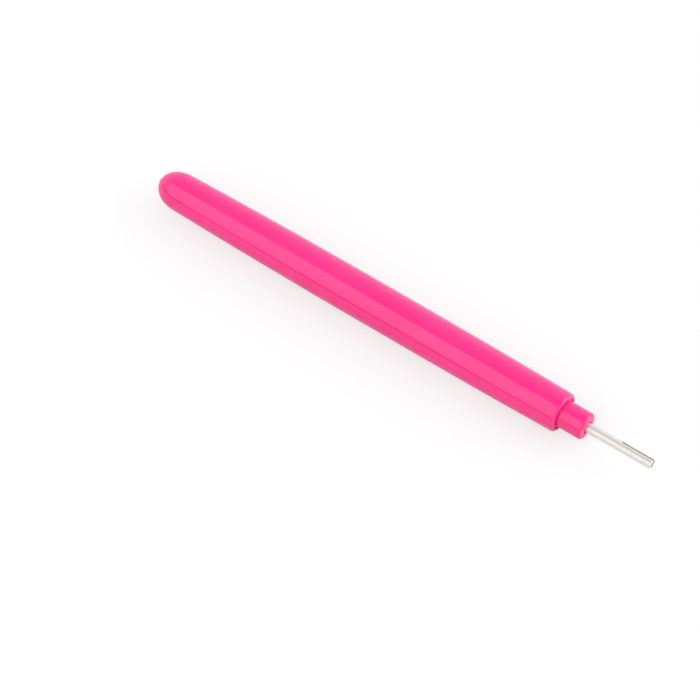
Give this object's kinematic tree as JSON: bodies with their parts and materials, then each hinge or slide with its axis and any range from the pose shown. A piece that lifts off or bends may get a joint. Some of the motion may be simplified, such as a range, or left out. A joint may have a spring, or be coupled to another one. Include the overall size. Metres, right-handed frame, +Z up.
{
  "type": "quilling tool",
  "caption": "Slotted quilling tool: a slim bellied plastic handle with a closed round tail, a short collar plugged into its mouth and a round steel needle slit at its tip for paper strips.",
  "frame": {"origin": "middle of the bounding box on the surface that the tool lies on; the tool's axis is 4 mm above it", "axes": "+X along the tool's axis from the handle's tail to the needle's tip, +Z up from the surface that it lies on"},
  "size_m": [0.1056, 0.008, 0.008],
  "materials": {
    "handle_plastic": "glossy pink, moulded",
    "plug_plastic": "glossy pink, moulded",
    "needle_steel": "bright drawn steel, nickel tone"
  },
  "bodies": {
    "root": {"handle_barrel": "handle_plastic", "nose_plug": "plug_plastic", "slotted_needle": "needle_steel"}
  },
  "joints": []
}
